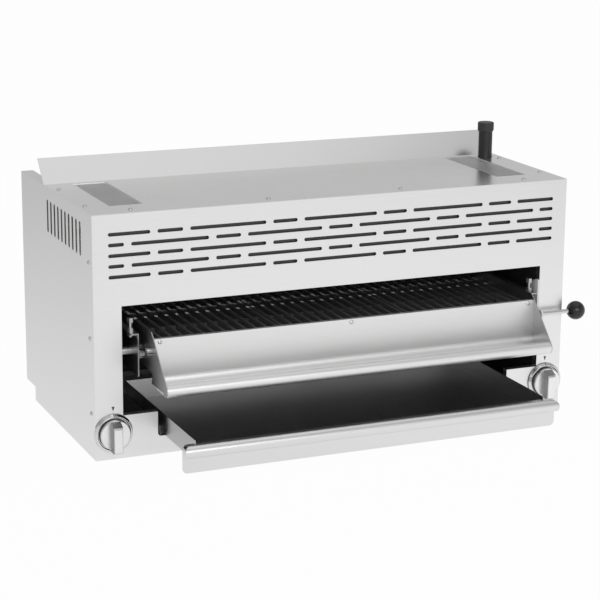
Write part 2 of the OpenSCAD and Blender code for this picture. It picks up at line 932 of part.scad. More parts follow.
// Plastic thread cap pushed over the pipe's end
module gas_inlet_cap() {
  low_z = pipe_top_z + cap_top - cap_h;
  high_z = pipe_top_z + cap_top;
  bore_r = pipe_d/2 + bore_gap;
  out_r = bore_r + cap_wall;
  color("dimgray") translate([inlet_x, inlet_y, 0]) {
    rotate_extrude($fn = round_fn) polygon([
      [bore_r, low_z], [out_r - cap_bevel, low_z], [out_r, low_z + cap_skirt_h],
      [out_r, high_z - cap_bevel], [out_r - cap_bevel, high_z], [0, high_z],
      [0, pipe_top_z], [bore_r, pipe_top_z]
    ]);
    for (i = [0:cap_ribs - 1]) rotate(360*i/cap_ribs)
      block(out_r - cap_rib_out, out_r + cap_rib_out, -cap_rib_w/2, cap_rib_w/2,
        low_z + cap_skirt_h, high_z - cap_bevel);
  }
}

// Cast elbow that turns the manifold's run up into the inlet pipe
module gas_inlet_elbow() {
  run_front_y = inlet_y - elbow_l;
  socket_z = manifold_lift + elbow_h;
  color("dimgray") difference() {
    union() {
      translate([inlet_x, inlet_y, manifold_lift]) sphere(r = elbow_r);
      bar_y(run_front_y, inlet_y, inlet_x, manifold_lift, 2*(elbow_r - elbow_bead));
      bar_z(manifold_lift, socket_z, inlet_x, inlet_y, 2*elbow_r);
      bar_z(socket_z - elbow_bead_l, socket_z, inlet_x, inlet_y, 2*(elbow_r + elbow_bead));
      bar_y(run_front_y, run_front_y + elbow_bead_l, inlet_x, manifold_lift, 2*elbow_r);
    }
    bar_z(pipe_foot_z, socket_z + overrun, inlet_x, inlet_y, pipe_d + 2*bore_gap);
    bar_y(run_front_y - overrun, inlet_y - pipe_d/2, inlet_x, manifold_lift, manifold_d + 2*bore_gap);
    bar_z(manifold_lift, pipe_foot_z + overrun, inlet_x, inlet_y, manifold_d - 2*manifold_wall);
    bar_y(inlet_y - pipe_d/2 - overrun, inlet_y, inlet_x, manifold_lift, manifold_d - 2*manifold_wall);
  }
}

// Manifold across the front, with its leg back to the inlet elbow
module gas_manifold() {
  run_end_y = inlet_y - pipe_d/2;
  bore_d = manifold_d - 2*manifold_wall;
  color("dimgray") difference() {
    union() {
      bar_x(-train_x - manifold_over, inlet_x, manifold_y, manifold_lift, manifold_d);
      bar_y(manifold_y, run_end_y, inlet_x, manifold_lift, manifold_d);
      translate([inlet_x, manifold_y, manifold_lift]) sphere(r = corner_r);
      bar_y(manifold_y, manifold_y + corner_r + elbow_bead_l, inlet_x, manifold_lift, 2*corner_r);
      bar_x(inlet_x - corner_r - elbow_bead_l, inlet_x, manifold_y, manifold_lift, 2*corner_r);
    }
    bar_x(-train_x, inlet_x, manifold_y, manifold_lift, bore_d);
    bar_y(manifold_y, run_end_y + overrun, inlet_x, manifold_lift, bore_d);
  }
}

// Gas valve of the right hand, with its stem bore in front; its boss sits on a run of seat_d
module gas_valve(seat_d) {
  face_y = manifold_y - valve_l/2;
  color("goldenrod") difference() {
    union() {
      bar_y(face_y, face_y + valve_l, train_x, knob_z, 2*valve_r);
      bar_y(face_y - valve_nose_l, face_y, train_x, knob_z, 2*valve_nose_r);
      bar_z(manifold_lift, knob_z, train_x, manifold_y, 2*valve_boss_r);
      bar_z(knob_z, knob_z + valve_top_h, train_x, manifold_y, 2*valve_top_r);
    }
    bar_y(face_y - valve_nose_l - overrun, face_y - valve_nose_l + stem_in, train_x, knob_z,
      stem_d + 2*bore_gap);
    bar_x(train_x - 2*valve_r, train_x + 2*valve_r, manifold_y, manifold_lift, seat_d);
    bar_y(manifold_y, manifold_y + 2*valve_r, inlet_x, manifold_lift, seat_d);
  }
}

module gas_valve_left() {
  mirrored() gas_valve(manifold_d);
}

module gas_valve_right() {
  gas_valve(2*corner_r);
}

// Supply tube of the right hand, from the valve up and back to the orifice
module supply_tube() {
  start_z = knob_z + valve_top_h;
  end_y = box_y - orifice_back;
  corner_z = venturi_z - supply_bend_r;
  bar_z(start_z, corner_z, train_x, manifold_y, supply_d);
  translate([train_x, manifold_y + supply_bend_r, corner_z]) rotate([90, 0, 90])
    rotate_extrude(angle = 90, start = 90) translate([supply_bend_r, 0]) circle(d = supply_d);
  bar_y(manifold_y + supply_bend_r, end_y, train_x, venturi_z, supply_d);
}

module supply_tube_left() {
  color("silver") mirrored() supply_tube($fn = slot_fn);
}

module supply_tube_right() {
  color("silver") supply_tube($fn = slot_fn);
}

module orifice_fittings() {
  body_y = box_y - orifice_back;
  tip_x = mouth_x + orifice_tip_gap;
  color("goldenrod") both_sides() {
    bar_y(body_y, box_y + orifice_r, train_x, venturi_z, 2*orifice_r, $fn = slot_fn);
    bar_x(tip_x, train_x, box_y, venturi_z, 2*orifice_nose_r, $fn = slot_fn);
  }
}

// Rail of the right hand under the tray's edge
module tray_runner() {
  shelf_z = tray_z - runner_gap_z;
  foot_z = sheet_t + runner_t;
  start_y = front_y + runner_start;
  back_y = front_y + runner_back;
  notch_half = manifold_d/2 + manifold_clear;
  difference() {
    union() {
      block(runner_web_x - runner_in - runner_gap, runner_web_x + runner_t, start_y, back_y,
        shelf_z - runner_t, shelf_z);
      block(runner_web_x, runner_web_x + runner_t, start_y, back_y, sheet_t, shelf_z + runner_lip_h);
      block(runner_web_x, runner_web_x + runner_foot, start_y, back_y, sheet_t, foot_z);
    }
    block(runner_web_x - overrun, runner_web_x + runner_foot + overrun, manifold_y - notch_half,
      manifold_y + notch_half, 0, manifold_lift + manifold_d/2 + runner_t/2);
  }
}

module tray_runner_left() {
  color("gray") mirrored() tray_runner();
}

module tray_runner_right() {
  color("gray") tray_runner();
}

// Upright channel of the right hand for the carriage's rear pin
module rear_guide() {
  base_x = plate_out_x + fit_gap + guide_w;
  low_z = guide_pin_z - lift_down - guide_over;
  high_z = guide_pin_z + lift_up + guide_over;
  lip_x = base_x - guide_w + run_gap;
  slab_z(low_z, high_z - low_z) union() {
    rect_2d(base_x, base_x + guide_t, guide_pin_y - guide_half - guide_t, chamber_y);
    rect_2d(lip_x, base_x, guide_pin_y - guide_half - guide_t, guide_pin_y - guide_half);
    rect_2d(lip_x, base_x, guide_pin_y + guide_half, guide_pin_y + guide_half + guide_t);
    rect_2d(lip_x, base_x, chamber_y - guide_t, chamber_y);
  }
}

module rear_guide_left() {
  color("gray") mirrored() rear_guide();
}

module rear_guide_right() {
  color("gray") rear_guide();
}

// Bushes of the cross shaft in the chamber's sides
module shaft_bushes() {
  color("goldenrod") both_sides() difference() {
    union() {
      bar_x(open_x, liner_out_x, shaft_y, shaft_z, bush_spigot_d);
      bar_x(liner_out_x, liner_out_x + bush_t, shaft_y, shaft_z, bush_d);
    }
    bar_x(open_x - overrun, liner_out_x + bush_t + overrun, shaft_y, shaft_z, shaft_d + 2*bore_gap);
  }
}

module case_screws() {
  color("gainsboro") {
    both_sides() {
      at_side_screws() screw();
      at_top_screws() screw();
    }
    at_header_screws() screw();
  }
}

module lift_shaft() {
  color("gray") bar_x(-shaft_end_x, shaft_end_x, shaft_y, shaft_z, shaft_d);
}

// Flat arm from the shaft to the stud, drawn in Y and Z
module arm_2d() {
  translate([shaft_y, shaft_z]) rotate(-arm_angle) {
    circle(d = arm_hub_d);
    rect_2d(-arm_l, 0, -arm_w/2, arm_w/2);
    translate([-arm_l, 0]) circle(d = arm_w);
  }
}
module arm_holes_2d() {
  translate([shaft_y, shaft_z]) rotate(-arm_angle) {
    circle(d = shaft_d + 2*bore_gap);
    slot_2d(-arm_l - arm_slot_l/2, arm_slot_l/2 - arm_l, 0, arm_slot_w);
  }
}

module lift_arm_left() {
  color("gray") mirrored() slab_x(arm_x, arm_t) difference() {
    arm_2d();
    arm_holes_2d();
  }
}

// Lever arm: the right lift arm with its half-moon head and the rod's tongue
module lever_arm() {
  color("silver") slab_x(arm_x, arm_t) difference() {
    union() {
      arm_2d();
      difference() {
        translate([head_y, head_z]) circle(r = head_r, $fn = round_fn);
        rect_2d(head_y - 2*head_r, head_front_y, head_z - 2*head_r, head_z + 2*head_r);
      }
      rect_2d(rod_y, stud_y, rod_z - tongue_w/2, rod_z + tongue_w/2);
      translate([rod_y, rod_z]) circle(d = tongue_w);
    }
    arm_holes_2d();
  }
}

module lever_rod() {
  socket_l = ball_d/4;
  color("silver") bar_x(arm_x + arm_t, arm_x + arm_t + lever_l - socket_l, rod_y, rod_z, lever_d);
}

module lever_ball() {
  ball_x = arm_x + arm_t + lever_l;
  color("black") difference() {
    translate([ball_x, rod_y, rod_z]) sphere(d = ball_d);
    bar_x(ball_x - ball_d, ball_x - ball_d/4, rod_y, rod_z, lever_d + 2*bore_gap);
  }
}

// Carriage plate of the right hand: web, top flange, roller track and front axle
module carriage_plate() {
  in_x = plate_x - track_w;
  low_z = roller_z - track_h/2;
  high_z = roller_z + track_h/2;
  head_x = rack_x + fit_gap + run_gap;
  block(plate_x, plate_out_x, plate_front_y, plate_rear_y, plate_low_z, plate_top_z);
  block(plate_out_x, plate_out_x + plate_flange, plate_front_y, flange_rear_y, plate_top_z - plate_t,
    plate_top_z);
  block(in_x, plate_x, track_front_y, track_rear_y, low_z - track_t, low_z);
  block(in_x, plate_x, track_front_y, track_rear_y, high_z, high_z + track_t);
  bar_x(head_x, plate_x, front_roller_y, roller_z, axle_d);
  bar_x(head_x, head_x + axle_head_t, front_roller_y, roller_z, axle_head_d);
}

// Holes of the studs, the pin and the stop bolt in the carriage plate
module carriage_holes() {
  bar_x(plate_x - overrun, plate_out_x + overrun, stud_y, stud_z, stud_d + 2*bore_gap);
  bar_x(plate_x - overrun, plate_out_x + overrun, guide_pin_y, guide_pin_z, guide_pin_d + 2*bore_gap);
  bar_z(plate_top_z - plate_t - overrun, plate_top_z + overrun, stop_bolt_x, stop_bolt_y,
    stop_bolt_d + 2*bore_gap, $fn = screw_fn);
}

module carriage_plate_left() {
  color("silver") mirrored() difference() {
    carriage_plate();
    carriage_holes();
  }
}

module carriage_plate_right() {
  color("silver") difference() {
    carriage_plate();
    carriage_holes();
  }
}

module carriage_ties() {
  color("gray") for (share = [-tie_y_share, tie_y_share])
    bar_x(-plate_x, plate_x, case_d*share, tie_z, tie_d);
}

// Guide studs at the front with their spacers, and plain pins at the rear
module guide_studs() {
  color("silver") both_sides() {
    bar_x(plate_x - stud_over/2, liner_out_x + stud_over, stud_y, stud_z, stud_d);
    bar_x(plate_out_x, arm_x - run_gap, stud_y, stud_z, spacer_d);
    bar_x(plate_x - stud_over/2, plate_out_x + guide_pin_l, guide_pin_y, guide_pin_z, guide_pin_d);
  }
}

// Bolts that meet the header at the top of the travel
module lift_stop_bolts() {
  color("silver") both_sides() translate([stop_bolt_x, stop_bolt_y, 0]) {
    translate([0, 0, stop_bolt_top_z - stop_bolt_l])
      cylinder(h = stop_bolt_l, d = stop_bolt_d, $fn = screw_fn);
    slab_z(stop_bolt_top_z - stop_head_h, stop_head_h) hex_2d(stop_head_w);
    slab_z(plate_top_z, stop_nut_h) hex_2d(stop_head_w);
    slab_z(plate_top_z - plate_t - stop_nut_h, stop_nut_h) hex_2d(stop_head_w);
  }
}

// Front roller of the right hand, on the carriage plate's axle
module carriage_roller() {
  start_x = rack_x + fit_gap + run_gap + axle_head_t + fit_gap;
  difference() {
    bar_x(start_x, start_x + roller_w, front_roller_y, roller_z, front_roller_d);
    bar_x(start_x - overrun, start_x + roller_w + overrun, front_roller_y, roller_z, axle_d + 2*bore_gap);
  }
}

module carriage_roller_left() {
  color("dimgray") mirrored() carriage_roller();
}

module carriage_roller_right() {
  color("dimgray") carriage_roller();
}

// Rack side's outline in Y and Z, with its triangular front end
module rack_side_2d() {
  foot_z = apron_low_z + side_foot;
  polygon([
    [rack_rear_y, rack_low_z], [rack_rear_y, rack_top_z], [rack_front_y + side_nose, rack_top_z],
    [rack_front_y, rack_top_z - brow_h], [roll_y - roll_r*sin(45), roll_z + roll_r*cos(45)],
    [roll_y, roll_z], [roll_y + roll_r, foot_z], [rack_front_y + side_heel, foot_z],
    [rack_front_y + side_heel - side_slope_h, foot_z + side_heel_h],
    [rack_front_y + side_heel + side_slope_d, rack_low_z - side_slope_h]
  ]);
  translate([roll_y, roll_z]) circle(r = roll_r);
}

// Rack side of the right hand, with the lip that rides the front roller and the rear axle
module rack_side() {
  head_x = rack_x + fit_gap + roller_w + 2*fit_gap;
  slab_x(rack_in_x, rack_t) rack_side_2d();
  block(rack_x, rack_x + lip_w, rack_front_y + lip_front_gap, rack_rear_y - lip_rear_gap, lip_z,
    lip_z + lip_t);
  bar_x(rack_x, head_x + axle_head_t, rear_roller_y, roller_z, axle_d);
  bar_x(head_x, head_x + axle_head_t, rear_roller_y, roller_z, axle_head_d);
}

module rack_side_left() {
  color("silver") mirrored() rack_side();
}

module rack_side_right() {
  color("silver") rack_side();
}

// Rack front in one sheet: top hem, apron, bend, floor and rolled handle
module rack_front() {
  back_y = rack_front_y + rack_t;
  bend_y = rack_front_y - apron_bend_r;
  floor_z = apron_low_z + rack_t;
  bend_z = floor_z + apron_bend_r;
  color("silver") difference() {
    slab_x(-rack_in_x, 2*rack_in_x) union() {
      rect_2d(rack_front_y, back_y, bend_z, apron_top_z);
      rect_2d(rack_front_y, rack_front_y + apron_lip, apron_top_z - rack_t, apron_top_z);
      intersection() {
        translate([bend_y, bend_z]) difference() {
          circle(r = apron_bend_r + rack_t, $fn = round_fn);
          circle(r = apron_bend_r, $fn = round_fn);
        }
        rect_2d(bend_y, back_y, apron_low_z, bend_z);
      }
      rect_2d(roll_y, bend_y, apron_low_z, floor_z);
      translate([roll_y, roll_z]) difference() {
        circle(r = roll_r);
        circle(r = roll_r - rack_t);
      }
    }
    at_apron_screws() screw_hole();
  }
}

module at_apron_screws() {
  for (share = apron_screw_x_shares)
    translate([rack_x*share, rack_front_y, apron_screw_z]) rotate([90, 0, 0]) children();
}

module rack_front_screws() {
  color("gainsboro") at_apron_screws() screw();
}

// Angles behind the apron and across the rear that the grates lie on
module grate_supports() {
  low_z = grate_z - support_drop;
  high_z = apron_top_z - rack_t;
  front_leg_y = rack_front_y + rack_t;
  front_ledge_y = front_leg_y + support_t;
  rear_ledge_y = rack_rear_y - support_t;
  color("gray") difference() {
    union() {
      block(-rack_in_x, rack_in_x, front_leg_y, front_ledge_y, low_z, high_z);
      block(-rack_in_x, rack_in_x, front_ledge_y, front_ledge_y + support_ledge, grate_z - support_t,
        grate_z);
      block(-rack_in_x, rack_in_x, rear_ledge_y, rack_rear_y, low_z, high_z);
      block(-rack_in_x, rack_in_x, rear_ledge_y - support_ledge, rear_ledge_y, grate_z - support_t,
        grate_z);
    }
    at_apron_screws() screw_hole();
  }
}

// One cast grate: tapered bars from front to back on cross ribs
module grate(x) {
  taper = bar_w*(1 - bar_top_share)/2;
  bar_z0 = grate_top_z - grate_bar_h;
  for (i = [0:bar_count - 1])
    slab_y(grate_front_y, grate_rear_y - grate_front_y) translate([x + i*bar_pitch, 0]) polygon([
      [0, bar_z0], [bar_w, bar_z0], [bar_w - taper, grate_top_z], [taper, grate_top_z]
    ]);
  for (j = [0:rib_count - 1])
    block(x + bar_w/2, x + grate_w - bar_w/2, grate_front_y + j*rib_pitch,
      grate_front_y + j*rib_pitch + rib_w, grate_z, grate_top_z - grate_bar_h*(1 - bar_top_share));
}

module grates() {
  color("#2b2b2b") for (i = [0:grate_count - 1])
    grate(grate_gap - rack_in_x + i*grate_span);
}

// Pins over the lips that stop the rack against the tracks
module rack_stop_pins() {
  color("silver") both_sides()
    bar_x(rack_x, rack_x + stop_pin_l, stop_pin_y, stop_pin_z, stop_pin_d);
}

// Rear roller of the right hand, on the rack side's axle
module rack_roller() {
  start_x = rack_x + 2*fit_gap;
  difference() {
    bar_x(start_x, start_x + roller_w - fit_gap, rear_roller_y, roller_z, roller_d);
    bar_x(start_x - overrun, start_x + roller_w + overrun, rear_roller_y, roller_z, axle_d + 2*bore_gap);
  }
}

module rack_roller_left() {
  color("dimgray") mirrored() rack_roller();
}

module rack_roller_right() {
  color("dimgray") rack_roller();
}

// Open pan of the drip tray; its front wall is lower, under the hem
module drip_tray_pan() {
  pan_front_y = tray_front_y + tray_t;
  top_z = tray_z + tray_h;
  color("silver") difference() {
    block(-tray_x, tray_x, pan_front_y, tray_rear_y, tray_z, top_z);
    block(tray_t - tray_x, tray_x - tray_t, pan_front_y + tray_t, tray_rear_y - tray_t, tray_z + tray_t,
      top_z + overrun);
    block(tray_t - tray_x, tray_x - tray_t, pan_front_y - overrun, pan_front_y + tray_t + overrun,
      hem_top_z - tray_t, top_z + overrun);
  }
}

// A D shape with its round nose in front and its flat back at back_y
module hem_2d(nose_y, back_y, nose_z, r) {
  rect_2d(nose_y, back_y, nose_z - r, nose_z + r);
  intersection() {
    translate([nose_y, nose_z]) circle(r = r);
    rect_2d(nose_y - r, back_y, nose_z - r, nose_z + r);
  }
}

// Tray front: a skirt with rounded lower corners under a hollow rounded hem, closed at its ends
module drip_tray_front() {
  front_x = tray_x + tray_front_over;
  back_y = tray_front_y + tray_t;
  nose_r = hem_h/2;
  nose_y = back_y - hem_d + nose_r;
  nose_z = hem_z + nose_r;
  color("silver") intersection() {
    difference() {
      slab_x(-front_x, 2*front_x) union() {
        rect_2d(tray_front_y, back_y, tray_skirt_z, hem_z + tray_t);
        hem_2d(nose_y, back_y, nose_z, nose_r);
      }
      slab_x(tray_t - front_x, 2*(front_x - tray_t))
        hem_2d(nose_y, back_y - tray_t, nose_z, nose_r - tray_t);
    }
    slab_y(tray_front_y - 2*hem_d, 3*hem_d) union() {
      tub_2d(-front_x, front_x, tray_skirt_z, nose_z, tray_corner);
      translate([0, 2*nose_z]) mirror([0, 1])
        tub_2d(-front_x, front_x, 2*nose_z - hem_top_z, nose_z, tray_corner);
    }
  }
}

// Turned body of a knob, from its back to its drum's face: bevelled rim, dish and drum
module knob_body() {
  rim_r = knob_d/2 - rim_bevel;
  face_h = skirt_h + drum_h;
  rotate_extrude($fn = round_fn) polygon([
    [0, 0], [knob_d/2, 0], [knob_d/2, rim_edge], [rim_r, skirt_h], [rim_r - rim_top, skirt_h],
    [drum_base_r + dish_gap, skirt_h - dish_depth], [drum_base_r, skirt_h - dish_depth],
    [drum_top_r, face_h - drum_shoulder], [drum_top_r - drum_shoulder, face_h], [0, face_h]
  ]);
}

// Knob on the axis of its stem, with its grip bar's long edges rounded and a blind bore
module knob() {
  difference() {
    union() {
      translate([0, knob_back_y, 0]) rotate([90, 0, 0]) knob_body();
      intersection() {
        slab_x(-grip_w/2, grip_w) polygon([
          [drum_y + drum_shoulder, -grip_down], [drum_y + drum_shoulder, grip_root_up],
          [knob_tip_y + grip_edge, grip_up], [knob_tip_y, grip_up - grip_edge],
          [knob_tip_y, grip_edge - grip_down], [knob_tip_y + grip_edge, -grip_down]
        ]);
        slab_z(-2*grip_down, 4*grip_down)
          tub_2d(-grip_w/2, grip_w/2, knob_tip_y, knob_back_y, grip_round);
      }
    }
    bar_y(knob_back_y - stem_into_knob, knob_back_y + overrun, 0, 0, stem_d + 2*bore_gap);
  }
}

module knob_left() {
  color("gainsboro") translate([-train_x, 0, knob_z]) knob();
}

module knob_right() {
  color("gainsboro") translate([train_x, 0, knob_z]) knob();
}

module valve_stem(x) {
  valve_face_y = manifold_y - valve_l/2 - valve_nose_l;
  bar_y(knob_back_y - stem_into_knob, valve_face_y + stem_in, x, knob_z, stem_d);
}

module valve_stem_left() {
  color("goldenrod") valve_stem(-train_x);
}

module valve_stem_right() {
  color("goldenrod") valve_stem(train_x);
}

left_side_panel();
right_side_panel();
front_panel();
top_panel();
vent_screen_left();
vent_screen_right();
slot_backing_plate();
back_panel();
bottom_panel();
left_liner();
right_liner();
rear_liner();
burner_deck();
burner_box_left();
burner_box_right();
burner_tiles();
venturi_tube_left();
venturi_tube_right();
gas_inlet_pipe();
gas_inlet_cap();
gas_inlet_elbow();
gas_manifold();
gas_valve_left();
gas_valve_right();
supply_tube_left();
supply_tube_right();
orifice_fittings();
tray_runner_left();
tray_runner_right();
rear_guide_left();
rear_guide_right();
shaft_bushes();
case_screws();
lift_shaft();
lift_arm_left();
lever_arm();
lever_rod();
lever_ball();
carriage_plate_left();
carriage_plate_right();
carriage_ties();
guide_studs();
lift_stop_bolts();
carriage_roller_left();
carriage_roller_right();
rack_side_left();
rack_side_right();
rack_front();
rack_front_screws();
grate_supports();
grates();
rack_stop_pins();
rack_roller_left();
rack_roller_right();
drip_tray_pan();
drip_tray_front();
knob_left();
knob_right();
valve_stem_left();
valve_stem_right();
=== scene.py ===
"""Looks of a countertop gas cheese melter: brushed stainless case, roll-out rack, drip tray and gas inlet."""

import math

import bmesh
import bpy
from mathutils import Matrix, Vector


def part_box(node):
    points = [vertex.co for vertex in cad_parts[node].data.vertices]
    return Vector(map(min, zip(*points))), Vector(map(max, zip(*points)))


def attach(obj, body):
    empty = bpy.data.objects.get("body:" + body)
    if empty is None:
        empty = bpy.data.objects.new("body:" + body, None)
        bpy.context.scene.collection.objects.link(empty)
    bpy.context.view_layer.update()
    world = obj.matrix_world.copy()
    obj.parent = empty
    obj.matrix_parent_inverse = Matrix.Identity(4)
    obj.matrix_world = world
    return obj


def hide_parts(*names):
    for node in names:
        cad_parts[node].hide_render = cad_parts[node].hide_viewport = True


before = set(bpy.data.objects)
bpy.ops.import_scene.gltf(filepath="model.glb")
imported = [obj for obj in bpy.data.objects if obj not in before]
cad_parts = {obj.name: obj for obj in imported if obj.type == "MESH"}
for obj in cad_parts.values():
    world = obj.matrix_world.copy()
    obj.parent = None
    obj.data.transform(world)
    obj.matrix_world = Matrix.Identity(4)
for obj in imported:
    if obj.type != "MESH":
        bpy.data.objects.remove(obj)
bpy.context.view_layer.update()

# The camera stands to the left of the front and a little above the case, and looks down on it.
# Its place and turn were worked out from the case's corners in the photograph.
camera_place = Vector((-1.39088, -3.27559, 1.10398))
camera_azimuth = math.radians(-23.26)
camera_tilt = math.radians(90 - 14.38)
camera_roll = math.radians(0.44)
camera_focal_px = 1946.79
picture_px = 600
sensor_mm = 36
camera_reach = 60
camera_data = bpy.data.cameras.new("camera")
camera_data.sensor_width = sensor_mm
camera_data.lens = camera_focal_px / picture_px * sensor_mm
camera_data.clip_end = camera_reach
camera = bpy.data.objects.new("camera", camera_data)
camera.matrix_world = (
    Matrix.Translation(camera_place)
    @ Matrix.Rotation(camera_azimuth, 4, "Z")
    @ Matrix.Rotation(camera_tilt, 4, "X")
    @ Matrix.Rotation(camera_roll, 4, "Z")
)
bpy.context.scene.collection.objects.link(camera)
bpy.context.scene.camera = camera
bpy.context.scene.view_settings.view_transform = "Standard"


# The studio's floor is one pale sheet. The camera sees it white, metal mirrors it nearly white close
# to the case and dimmer far off, and the rest of its light is that of a matt grey paint.
class Shade:
    """A node's output socket. Arithmetic on it adds Math nodes to its tree."""

    def __init__(self, tree, socket=None):
        self.tree = tree
        self.socket = socket

    def node(self, kind, settings=None, inputs=None, out=0):
        """A new node: its settings are made first, then the values or links of its sockets."""
        made = self.tree.nodes.new("ShaderNode" + kind)
        for name, value in (settings or {}).items():
            if name == "stops":
                ramp = made.color_ramp.elements
                ramp.remove(ramp[1])
                first_place, first_tone = value[0]
                ramp[0].position = first_place
                ramp[0].color = (first_tone, first_tone, first_tone, 1)
                for place, tone in value[1:]:
                    ramp.new(place).color = (tone, tone, tone, 1)
            else:
                setattr(made, name, value)
        for name, value in (inputs or {}).items():
            if isinstance(value, Shade):
                self.tree.links.new(value.socket, made.inputs[name])
            else:
                made.inputs[name].default_value = value
        return Shade(self.tree, made.outputs[out] if len(made.outputs) > 0 else None)

    def math(self, operation, first, second):
        return self.node("Math", {"operation": operation}, {0: first, 1: second})

    def __add__(self, other):
        return self.math("ADD", self, other)

    def __radd__(self, other):
        return self.math("ADD", other, self)

    def __rsub__(self, other):
        return self.math("SUBTRACT", other, self)

    def __mul__(self, other):
        return self.math("MULTIPLY", self, other)

    def __rmul__(self, other):
        return self.math("MULTIPLY", other, self)

    def tint(self, low, high):
        """The mix from low to high by this share, where each is a colour or another node's socket."""
        ends = [end if isinstance(end, Shade) else (*end, 1) for end in (low, high)]
        return self.node("Mix", {"data_type": "RGBA"}, {0: self, 6: ends[0], 7: ends[1]}, 2)


def new_material(name):
    material = bpy.data.materials.new(name)
    material.use_nodes = True
    material.node_tree.nodes.clear()
    return material, Shade(material.node_tree)


def new_piece(name, mesh):
    piece = bpy.data.objects.new(name, mesh)
    bpy.context.scene.collection.objects.link(piece)
    return piece


floor_half = 14.0
floor_tone = 0.86
floor_white_share = 0.97
lit_place = (0.7, -0.9, 0.0)
lit_radius = 0.5
dim_radius = 3.6
dim_strength = 0.6
floor_corners = [(x * floor_half, y * floor_half, 0) for x, y in ((-1, -1), (1, -1), (1, 1), (-1, 1))]
floor_mesh = bpy.data.meshes.new("floor")
floor_mesh.from_pydata(floor_corners, [], [(0, 1, 2, 3)])
floor = new_piece("floor", floor_mesh)
floor_material, shade = new_material("pale_floor")
seen = shade.node("LightPath", out="Is Camera Ray")
rays = seen + shade.node("LightPath", out="Is Glossy Ray")
place = shade.node("TexCoord", out="Object")
away = shade.node("VectorMath", {"operation": "DISTANCE"}, {0: place, 1: lit_place}, "Value")
falloff = shade.node("MapRange", {}, {
    "Value": away, "From Min": lit_radius, "From Max": dim_radius, "To Min": 1.0, "To Max": dim_strength
})
matte = shade.node("BsdfDiffuse", {}, {"Color": (floor_tone, floor_tone, floor_tone, 1)})
white = shade.node("Emission", {}, {"Color": (1, 1, 1, 1), "Strength": shade.math("MAXIMUM", seen, falloff)})
floor_light = shade.node("MixShader", {}, {0: rays * floor_white_share, 1: matte, 2: white})
shade.node("OutputMaterial", {}, {"Surface": floor_light})
floor_mesh.materials.append(floor_material)

# The studio's light: a pale room that is brighter in front than behind and dimmer at mid height, one
# wide soft box overhead and one in front. The camera sees it white, and metal mirrors the rest of it.
camera_white = 1.0
room_strength = 0.97
behind_drop = 0.10
room_stops = (
    (0.0, 0.86), (0.10, 0.76), (0.28, 0.70), (0.52, 0.38), (0.72, 0.46), (0.88, 0.60), (1.0, 0.64)
)
world = bpy.data.worlds.new("studio")
bpy.context.scene.world = world
world.use_nodes = True
world.node_tree.nodes.clear()
shade = Shade(world.node_tree)
direction = shade.node("TexCoord", out="Generated")
height = shade.node("SeparateXYZ", {}, {0: direction}, "Z")
behind = shade.node("SeparateXYZ", {}, {0: direction}, "Y")
room_tone = shade.node("ValToRGB", {"stops": room_stops}, {"Fac": height})
is_camera = shade.node("LightPath", out="Is Camera Ray")
room = shade.node("Background", {}, {"Color": room_tone, "Strength": room_strength - behind_drop * behind})
white_room = shade.node("Background", {}, {"Color": (1, 1, 1, 1), "Strength": camera_white})
room_light = shade.node("MixShader", {}, {0: is_camera, 1: room, 2: white_room})
shade.node("OutputWorld", {}, {"Surface": room_light})


def soft_box(name, place, target, width, depth, power):
    lamp = bpy.data.lights.new(name, "AREA")
    lamp.shape = "RECTANGLE"
    lamp.size = width
    lamp.size_y = depth
    lamp.energy = power
    stand = bpy.data.objects.new(name, lamp)
    stand.location = place
    stand.rotation_euler = (Vector(target) - Vector(place)).to_track_quat("-Z", "Y").to_euler()
    bpy.context.scene.collection.objects.link(stand)


soft_box("overhead_box", place=(0.2, 0.2, 3.2), target=(0, 0, 0.3), width=3.4, depth=2.8, power=9)
soft_box("front_box", place=(-0.3, -3.6, 1.6), target=(0, 0, 0.25), width=2.6, depth=1.8, power=30)

# The case's outer sheets are brushed stainless steel, folded into flanges at their edges and screwed
# together. The grain runs across the front and the top, and from front to back on the sides.
grain_along_x = (0.6, 90, 90)
grain_along_y = (90, 0.6, 90)
scratch_share = 0.75
smudge_share = 0.25
rough_spread = 0.06
smudge_rough = 0.05


def brushed_steel(name, grain, dark=(0.79, 0.79, 0.79), light=(0.88, 0.88, 0.875), roughness=0.30):
    """Brushed steel whose fine scratches run along the axis where grain is smallest."""
    material, shade = new_material(name)
    place = shade.node("TexCoord", out="Object")
    along = shade.node("Mapping", {}, {"Vector": place, "Scale": grain})
    scratches = shade.node("TexNoise", {}, {"Vector": along, "Scale": 5.0, "Detail": 6.0, "Roughness": 0.7})
    smudges = shade.node("TexNoise", {}, {"Vector": place, "Scale": 5.0, "Detail": 3.0})
    mask = scratches * scratch_share + smudges * smudge_share
    rough = roughness - rough_spread + 2 * rough_spread * mask + smudge_rough * smudges
    bump = shade.node("Bump", {}, {"Height": scratches, "Strength": 0.05, "Distance": 0.0004})
    metal = shade.node("BsdfPrincipled", {}, {
        "Base Color": mask.tint(dark, light), "Metallic": 1.0, "Roughness": rough, "Normal": bump
    })
    shade.node("OutputMaterial", {}, {"Surface": metal})
    return material


def dress(nodes, material):
    """Gives CAD nodes their finish."""
    for node in nodes:
        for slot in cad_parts[node].material_slots:
            slot.material = material


dress(["front_panel"], brushed_steel("brushed_sheet", grain_along_x))
# The side and top panels are the same steel as the front, painted a little darker: a painted shade.
dress(["left_side_panel", "right_side_panel"], brushed_steel(
    "brushed_side_sheet", grain_along_y, dark=(0.76, 0.76, 0.76), light=(0.85, 0.85, 0.845)
))
dress(["top_panel"], brushed_steel(
    "brushed_top_sheet", grain_along_x, dark=(0.71, 0.71, 0.71), light=(0.79, 0.79, 0.785), roughness=0.22
))

